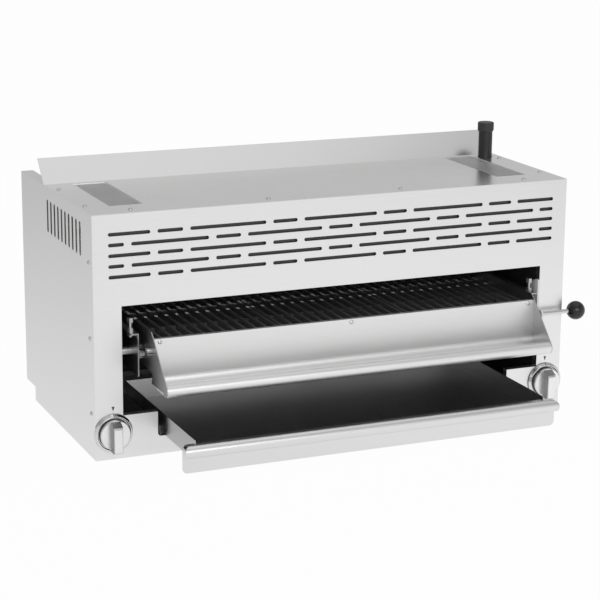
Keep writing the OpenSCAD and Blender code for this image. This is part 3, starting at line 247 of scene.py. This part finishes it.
# Over each knob a small black arrowhead is printed on the front panel. It points down at the knob's
# index line, and is as thin as ink.
ink_lift = 0.00012
mark_half = 0.0027
mark_low = 0.0864
mark_high = 0.0948
ink_dark = (0.015, 0.015, 0.015)
ink_light = (0.035, 0.035, 0.035)
mark_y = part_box("front_panel")[0].y - ink_lift
ink, shade = new_material("black_ink")
speckle = shade.node("TexNoise", {}, {"Scale": 900.0, "Detail": 2.0})
paint = shade.node("BsdfPrincipled", {}, {
    "Base Color": speckle.tint(ink_dark, ink_light), "Roughness": 0.45 + 0.1 * speckle
})
shade.node("OutputMaterial", {}, {"Surface": paint})
for side, knob in (("left", "knob_left"), ("right", "knob_right")):
    low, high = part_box(knob)
    middle = (low.x + high.x) / 2
    corners = [
        (middle - mark_half, mark_y, mark_high),
        (middle + mark_half, mark_y, mark_high),
        (middle, mark_y, mark_low)
    ]
    mark = bpy.data.meshes.new("index_mark_" + side)
    mark.from_pydata(corners, [], [(0, 2, 1)])
    mark.materials.append(ink)
    piece = new_piece("index_mark_" + side, mark)
    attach(piece, "case")

# The chamber is lined with folded sheets of aluminised steel, fastened inside the case. They are dark
# and matt, and the right one is darker still.
near_black = (0.03, 0.03, 0.031)
dark_grey = (0.09, 0.09, 0.091)
stain_share = 0.6
tooth_share = 0.4
stain_rough = 0.2


def sheet_finish(name, dark, light, metallic, roughness):
    """A dull sheet with uneven stains and a fine tooth."""
    material, shade = new_material(name)
    place = shade.node("TexCoord", out="Object")
    stains = shade.node("TexNoise", {}, {"Vector": place, "Scale": 7.0, "Detail": 5.0, "Roughness": 0.6})
    fine = shade.node("Mapping", {}, {"Vector": place, "Scale": (30, 30, 30)})
    tooth = shade.node("TexNoise", {}, {"Vector": fine, "Scale": 12.0, "Detail": 4.0})
    mask = stains * stain_share + tooth * tooth_share
    bump = shade.node("Bump", {}, {"Height": tooth, "Strength": 0.12, "Distance": 0.0003})
    metal = shade.node("BsdfPrincipled", {}, {
        "Base Color": mask.tint(dark, light), "Metallic": metallic,
        "Roughness": roughness + stain_rough * mask, "Normal": bump
    })
    shade.node("OutputMaterial", {}, {"Surface": metal})
    return material


dress(["left_liner", "rear_liner"], sheet_finish(
    "dark_liner_sheet", dark=near_black, light=dark_grey, metallic=0.3, roughness=0.45
))
dress(["right_liner"], sheet_finish(
    "darkest_liner_sheet", dark=(0.012, 0.012, 0.012), light=(0.04, 0.04, 0.04), metallic=0.3, roughness=0.55
))

# The burner deck carries the tiles in its windows, and a box of folded sheet closes each burner on top.
# They are aluminised steel: bright above, and scorched only on the side that faces the flames.
scorched_below = -0.6
bright_above = -0.2
clean_dark = (0.80, 0.80, 0.80)
clean_light = (0.92, 0.92, 0.91)
scorched, shade = new_material("scorched_aluminised_sheet")
place = shade.node("TexCoord", out="Object")
upward = shade.node("SeparateXYZ", {}, {0: shade.node("NewGeometry", out="Normal")}, "Z")
clean = shade.node("MapRange", {}, {"Value": upward, "From Min": scorched_below, "From Max": bright_above})
stains = shade.node("TexNoise", {}, {"Vector": place, "Scale": 9.0, "Detail": 5.0})
tooth = shade.node("TexNoise", {}, {"Vector": place, "Scale": 300.0, "Detail": 3.0})
bump = shade.node("Bump", {}, {"Height": tooth, "Strength": 0.12, "Distance": 0.0003})
bright_side = stains.tint(clean_dark, clean_light)
dark_side = stains.tint(near_black, dark_grey)
metal = shade.node("BsdfPrincipled", {}, {
    "Base Color": clean.tint(dark_side, bright_side), "Metallic": 0.1,
    "Roughness": 0.45 + stain_rough * stains, "Normal": bump
})
shade.node("OutputMaterial", {}, {"Surface": metal})
dress(["burner_deck", "burner_box_left", "burner_box_right"], scorched)

# The bottom, the tray's rails, the carriage's rear guides and the burners' mixing tubes are plain
# galvanised steel gone dull. The back panel and the slit screens under the top's vents are lighter.
dress([
    "bottom_panel", "tray_runner_left", "tray_runner_right", "rear_guide_left", "rear_guide_right",
    "venturi_tube_left", "venturi_tube_right"
], sheet_finish(
    "dull_galvanised_sheet", dark=(0.30, 0.30, 0.305), light=(0.50, 0.50, 0.51), metallic=0.7, roughness=0.35
))
dress(["back_panel"], sheet_finish(
    "bright_galvanised_back", dark=(0.68, 0.68, 0.685), light=(0.84, 0.84, 0.85), metallic=0.2, roughness=0.40
))
dress(["vent_screen_left", "vent_screen_right"], sheet_finish(
    "vent_screen_sheet", dark=(0.56, 0.56, 0.565), light=(0.76, 0.76, 0.76), metallic=0.9, roughness=0.3
))

# A plate of dark sheet steel closes the front panel's rows of slots from behind. It hangs from the
# panel's top return.
dress(["slot_backing_plate"], sheet_finish(
    "slot_backing_sheet", dark=(0.055, 0.055, 0.055), light=(0.11, 0.11, 0.11), metallic=0.5, roughness=0.4
))

# The burner tiles are plaques of fired cream ceramic with rows of tiny flame holes, laid over the
# deck's windows. They glow red in use, and here they are cold.
# The flame holes are dark spots painted into the tile's colour: a painted shade, with a bump that sinks them.
painted_hole_shade = (0.10, 0.08, 0.06)
clay_tone = (0.83, 0.77, 0.68)
hole_edge = 0.25
clay_edge = 0.4
tile_material, shade = new_material("fired_ceramic")
place = shade.node("TexCoord", out="Object")
holes = shade.node("TexVoronoi", {}, {"Vector": place, "Scale": 420.0, "Randomness": 0.0})
open_share = shade.node("MapRange", {}, {"Value": holes, "From Min": hole_edge, "From Max": clay_edge})
mottle = shade.node("TexNoise", {}, {"Vector": place, "Scale": 60.0, "Detail": 4.0})
clay = (open_share * (0.7 + 0.3 * mottle)).tint(painted_hole_shade, clay_tone)
bump = shade.node("Bump", {}, {"Height": open_share, "Strength": 0.4, "Distance": 0.0006})
fired = shade.node("BsdfPrincipled", {}, {
    "Base Color": clay, "Roughness": 0.75 + 0.15 * mottle, "Normal": bump
})
shade.node("OutputMaterial", {}, {"Surface": fired})
dress(["burner_tiles"], tile_material)

# The valves, their stems, the orifices and the shaft's bushes are turned from brass. The shaft, arm,
# ties, studs, pins, bolts and rollers of the lift and the rack are bare steel.
dress([
    "gas_valve_left", "gas_valve_right", "orifice_fittings", "shaft_bushes", "valve_stem_left",
    "valve_stem_right"
], sheet_finish(
    "turned_brass", dark=(0.52, 0.38, 0.17), light=(0.74, 0.57, 0.28), metallic=1.0, roughness=0.22
))
dress([
    "lift_shaft", "lift_arm_left", "carriage_ties", "guide_studs", "lift_stop_bolts",
    "carriage_roller_left", "carriage_roller_right", "rack_stop_pins", "rack_roller_left",
    "rack_roller_right", "case_screws", "rack_front_screws"
], sheet_finish(
    "bare_steel", dark=(0.38, 0.38, 0.385), light=(0.62, 0.62, 0.62), metallic=1.0, roughness=0.22
))

# The lever is a zinc-plated steel arm on the cross shaft, with a ground steel rod in its tongue. The
# angles that the grates lie on are blackened steel, and the front one is screwed to the rack's front.
dress(["lever_arm"], sheet_finish(
    "zinc_plated_arm", dark=(0.80, 0.80, 0.80), light=(0.94, 0.94, 0.93), metallic=0.15, roughness=0.40
))
dress(["lever_rod"], brushed_steel(
    "ground_rod", grain_along_x, dark=(0.62, 0.62, 0.62), light=(0.74, 0.74, 0.74), roughness=0.2
))
dress(["grate_supports"], sheet_finish(
    "support_angle", dark=(0.03, 0.03, 0.03), light=(0.09, 0.09, 0.09), metallic=0.6, roughness=0.4
))

# A supply tube carries the gas from each valve up and back to the burner's orifice. It is soft
# aluminium tube, bent to its run, and has gone grey.
dress(["supply_tube_left", "supply_tube_right"], sheet_finish(
    "aged_aluminium_tube", dark=(0.10, 0.10, 0.105), light=(0.20, 0.20, 0.205), metallic=0.8, roughness=0.4
))

# The inlet pipe, the elbow and the manifold are black iron pipe, screwed together, with a thin uneven
# mill varnish.
dress(["gas_inlet_pipe", "gas_inlet_elbow", "gas_manifold"], sheet_finish(
    "black_iron_pipe", dark=(0.010, 0.010, 0.010), light=(0.028, 0.028, 0.028), metallic=0.1, roughness=0.36
))


# The cap that is pushed over the inlet pipe's thread and the ball on the lever's rod are moulded
# black plastic. The cap is matt from its mould, and the ball is polished.
def moulded_plastic(name, dark, light, roughness):
    """Plastic with a soft cloud in its tone and the faint texture of the mould."""
    material, shade = new_material(name)
    place = shade.node("TexCoord", out="Object")
    texture = shade.node("TexNoise", {}, {"Vector": place, "Scale": 260.0, "Detail": 3.0})
    cloud = shade.node("TexNoise", {}, {"Vector": place, "Scale": 30.0, "Detail": 2.0})
    bump = shade.node("Bump", {}, {"Height": texture, "Strength": 0.05, "Distance": 0.0002})
    plastic = shade.node("BsdfPrincipled", {}, {
        "Base Color": cloud.tint(dark, light), "Roughness": roughness + 0.08 * texture, "Normal": bump
    })
    shade.node("OutputMaterial", {}, {"Surface": plastic})
    return material


dress(["gas_inlet_cap"], moulded_plastic(
    "cap_plastic", dark=(0.03, 0.03, 0.032), light=(0.045, 0.045, 0.047), roughness=0.42
))
dress(["lever_ball"], moulded_plastic(
    "ball_plastic", dark=(0.008, 0.008, 0.008), light=(0.014, 0.014, 0.014), roughness=0.16
))

# The rack is folded stainless: two sides, the front sheet with its rolled handle, and the carriage
# plates that it rolls in. Its sides are smoother than its front, and painted darker: a painted shade.
dress(["rack_front"], brushed_steel(
    "brushed_rack_front", grain_along_x, dark=(0.77, 0.77, 0.77), light=(0.85, 0.85, 0.845), roughness=0.40
))
dress(["rack_side_left", "rack_side_right", "carriage_plate_left", "carriage_plate_right"], brushed_steel(
    "brushed_rack_side", grain_along_y, dark=(0.40, 0.40, 0.40), light=(0.55, 0.55, 0.55), roughness=0.32
))

# The grates are cast iron, seasoned black, with a fine sand texture and a slight shine on the bars.
# Over two bands the bars rise in low crowns, whose tops are painted light and metallic: a painted highlight.
crown_bands = ((-0.064, -0.044), (-0.100, -0.090))
crown_fall = 0.012
crown_slope = 2.4
sand_depth = 0.00008
least_upward = 0.7
seasoned_dark = (0.07, 0.07, 0.07)
seasoned_light = (0.13, 0.13, 0.13)
# The light tone of the painted highlight on the crowns' tops.
painted_highlight_iron = (0.36, 0.36, 0.36)
iron, shade = new_material("seasoned_cast_iron")
place = shade.node("TexCoord", out="Object")
along_bar = shade.node("SeparateXYZ", {}, {0: place}, "Y")
upward = shade.node("SeparateXYZ", {}, {0: shade.node("NewGeometry", out="Normal")}, "Z")
bar_top = shade.math("GREATER_THAN", upward, least_upward)
crown = 0.0
# This mask marks the bars' tops over the bands, where a highlight is painted into the colour.
painted_highlight_band = 0.0
for foot, peak in crown_bands:
    rise = shade.node("MapRange", {}, {"Value": along_bar, "From Min": foot, "From Max": peak})
    fall = shade.node("MapRange", {}, {"Value": along_bar, "From Min": peak, "From Max": peak + crown_fall})
    crown = crown + (peak - foot) * (rise * (1.0 - fall))
    start = shade.math("GREATER_THAN", along_bar, foot)
    stop = shade.math("LESS_THAN", along_bar, peak)
    painted_highlight_band = painted_highlight_band + start * stop * bar_top
sand = shade.node("TexNoise", {}, {"Vector": place, "Scale": 900.0, "Detail": 4.0})
seasoning = shade.node("TexNoise", {}, {"Vector": place, "Scale": 22.0, "Detail": 4.0})
relief = crown_slope * crown * bar_top + sand_depth * sand
bump = shade.node("Bump", {}, {"Height": relief, "Strength": 1.0, "Distance": 1.0})
seasoned = seasoning.tint(seasoned_dark, seasoned_light)
cast = shade.node("BsdfPrincipled", {}, {
    "Base Color": painted_highlight_band.tint(seasoned, painted_highlight_iron), "Metallic": painted_highlight_band,
    "Roughness": 0.22 + 0.2 * seasoning, "Normal": bump
})
shade.node("OutputMaterial", {}, {"Surface": cast})
dress(["grates"], iron)

# The drip tray is a stainless pan with a folded front under a rounded hem. It slides on its rails, and
# its floor mirrors the dark rack above it.
dress(["drip_tray_front"], brushed_steel(
    "brushed_tray_front", grain_along_x, dark=(0.72, 0.72, 0.72), light=(0.80, 0.80, 0.795)
))
# The pan is painted darker than the front: a painted shade, over the dark rack that its floor mirrors.
dress(["drip_tray_pan"], brushed_steel(
    "brushed_tray_pan", grain_along_x, dark=(0.50, 0.50, 0.50), light=(0.62, 0.62, 0.62), roughness=0.3
))

# The knobs are chromed castings: the skirt is polished, and the drum and the grip on it are satin. What
# faces the front is painted bright and the sides a darker grey: a painted reflection.
satin_depth = 0.006
least_forward = 0.35
full_forward = 0.85
polish_rough = 0.06
haze_rough = 0.06
satin_rough = 0.22
satin_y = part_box("knob_left")[1].y - satin_depth
chrome, shade = new_material("bright_chrome")
place = shade.node("TexCoord", out="Object")
rearward = shade.node("SeparateXYZ", {}, {0: shade.node("NewGeometry", out="Normal")}, "Y")
forward = 0.0 - rearward
front = shade.node("MapRange", {}, {"Value": forward, "From Min": least_forward, "From Max": full_forward})
satin = shade.math("LESS_THAN", shade.node("SeparateXYZ", {}, {0: place}, "Y"), satin_y)
haze = shade.node("TexNoise", {}, {"Vector": place, "Scale": 90.0, "Detail": 4.0})
bright = haze.tint((0.82, 0.82, 0.83), (0.92, 0.92, 0.93))
# The sides' darker grey is a painted reflection, mixed in by how far each face turns from the front.
painted_side_reflection = haze.tint((0.20, 0.20, 0.205), (0.32, 0.32, 0.325))
plated = shade.node("BsdfPrincipled", {}, {
    "Base Color": front.tint(painted_side_reflection, bright), "Metallic": 1.0,
    "Roughness": polish_rough + haze_rough * haze + satin_rough * satin
})
shade.node("OutputMaterial", {}, {"Surface": plated})
dress(["knob_left", "knob_right"], chrome)

# A black index line is let into each knob's skirt at the top and filled with ink. It runs from the rim
# across the dish to the drum, and turns with the knob.
line_half = 0.0006
line_lift = 0.00015
line_path = ((0.0346, 0.0012), (0.0345, 0.0015), (0.0310, 0.0050), (0.0302, 0.0050), (0.0286, 0.0025))
for side in ("left", "right"):
    low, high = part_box("valve_stem_" + side)
    axis_x = (low.x + high.x) / 2
    axis_z = (low.z + high.z) / 2
    back_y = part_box("knob_" + side)[1].y
    corners = [
        (axis_x + half, back_y - out - line_lift, axis_z + radius + line_lift)
        for radius, out in line_path for half in (-line_half, line_half)
    ]
    faces = [(2 * i, 2 * i + 1, 2 * i + 3, 2 * i + 2) for i in range(len(line_path) - 1)]
    line = bpy.data.meshes.new("index_line_" + side)
    line.from_pydata(corners, [], faces)
    line.materials.append(ink)
    piece = new_piece("index_line_" + side, line)
    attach(piece, side + "_control")

# The screws are zinc-plated, with low domed heads 8 mm across and a cross recess. They hold the case's
# outer sheets together, and the front sheet of the rack to the angle behind it.
head_radius = 0.004
head_height = 0.0020
head_edge = 0.0005
head_steps = 6
head_sides = 28
recess_long = 0.0023
recess_wide = 0.0005
recess_depth = 0.0011
weld_distance = 0.00001
turn_per_point = 37.0
plated_steel = sheet_finish(
    "zinc_plated_screw", dark=(0.50, 0.50, 0.505), light=(0.72, 0.72, 0.72), metallic=1.0, roughness=0.12
)


def screw_head():
    """One domed head with its cross recess, standing on the origin."""
    form = bmesh.new()
    profile = [(head_radius, 0.0, 0.0), (head_radius, 0.0, head_edge)]
    for i in range(1, head_steps):
        turn = math.pi / 2 * i / head_steps
        rise = (head_height - head_edge) * math.sin(turn)
        profile.append((head_radius * math.cos(turn), 0.0, head_edge + rise))
    profile.append((0.0, 0.0, head_height))
    points = [form.verts.new(place) for place in profile]
    edges = [form.edges.new(pair) for pair in zip(points, points[1:])]
    bmesh.ops.spin(
        form, geom=points + edges, axis=(0, 0, 1), cent=(0, 0, 0), steps=head_sides, angle=math.tau
    )
    bmesh.ops.remove_doubles(form, verts=form.verts, dist=weld_distance)
    bmesh.ops.holes_fill(form, edges=form.edges)
    bmesh.ops.recalc_face_normals(form, faces=form.faces)
    head = bpy.data.meshes.new("screw_head")
    form.to_mesh(head)
    form.free()
    cutter = bmesh.new()
    for along, across in ((recess_long, recess_wide), (recess_wide, recess_long)):
        # The cube is two units wide, so the recess's sizes are those from its middle outward.
        made = bmesh.ops.create_cube(cutter, size=2.0)
        bmesh.ops.scale(cutter, vec=(along, across, recess_depth), verts=made["verts"])
        bmesh.ops.translate(cutter, vec=(0, 0, head_height), verts=made["verts"])
    cross = bpy.data.meshes.new("recess")
    cutter.to_mesh(cross)
    cutter.free()
    cross_piece = new_piece("recess_cutter", cross)
    head_piece = new_piece("screw_head_form", head)
    cut = head_piece.modifiers.new("recess", "BOOLEAN")
    cut.operation = "DIFFERENCE"
    cut.object = cross_piece
    cut.solver = "EXACT"
    cut.use_self = True
    worked = head_piece.evaluated_get(bpy.context.evaluated_depsgraph_get())
    finished = bpy.data.meshes.new_from_object(worked)
    bpy.data.objects.remove(head_piece)
    bpy.data.objects.remove(cross_piece)
    return finished


def screw_row(name, node, body, places):
    """Copies of the screw head at the places, each with the way that it faces and its own turn."""
    form = bmesh.new()
    head = screw_head()
    for place, facing in places:
        start = len(form.verts)
        form.from_mesh(head)
        form.verts.ensure_lookup_table()
        turn = Vector(facing).to_track_quat("Z", "Y").to_matrix().to_4x4()
        spin = Matrix.Rotation(turn_per_point * start, 4, "Z")
        bmesh.ops.transform(
            form, matrix=Matrix.Translation(place) @ turn @ spin, verts=form.verts[start:]
        )
    mesh = bpy.data.meshes.new(name)
    form.to_mesh(mesh)
    form.free()
    mesh.materials.clear()
    mesh.materials.append(plated_steel)
    piece = new_piece(name, mesh)
    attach(piece, body)
    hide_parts(node)


# Three screws hold each side panel, one above the other near its front edge. Two hold each side of
# the top panel, and four stand in a row along its front.
side_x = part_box("right_side_panel")[1].x
side_screw_y = -0.198
side_screw_shares = (0.803, 0.495, 0.185)
case_top = 0.432
case_front_y = -0.22
case_depth = 0.44
top_screw_x = 0.4445
top_screw_shares = (0.18, 0.536)
header_screw_y = -0.194
header_screw_shares = (-0.832, -0.28, 0.28, 0.832)
case_places = []
for share in side_screw_shares:
    case_places += [((x, side_screw_y, case_top * share), (x, 0, 0)) for x in (-side_x, side_x)]
for share in top_screw_shares:
    screw_y = case_front_y + case_depth * share
    case_places += [((side * top_screw_x, screw_y, case_top), (0, 0, 1)) for side in (-1, 1)]
for share in header_screw_shares:
    case_places.append(((side_x * share, header_screw_y, case_top), (0, 0, 1)))
screw_row("case_screw_heads", "case_screws", "case", case_places)

# Three screws stand in the apron of the rack's front sheet, in its middle and near its ends. Their
# height is that of the CAD's own screws.
apron_y = -0.27
apron_half = 0.3685
apron_screw_shares = (-0.966, 0, 0.966)
apron_low, apron_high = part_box("rack_front_screws")
apron_z = (apron_low.z + apron_high.z) / 2
screw_row("rack_screw_heads", "rack_front_screws", "rack", [
    ((apron_half * share, apron_y, apron_z), (0, -1, 0)) for share in apron_screw_shares
])
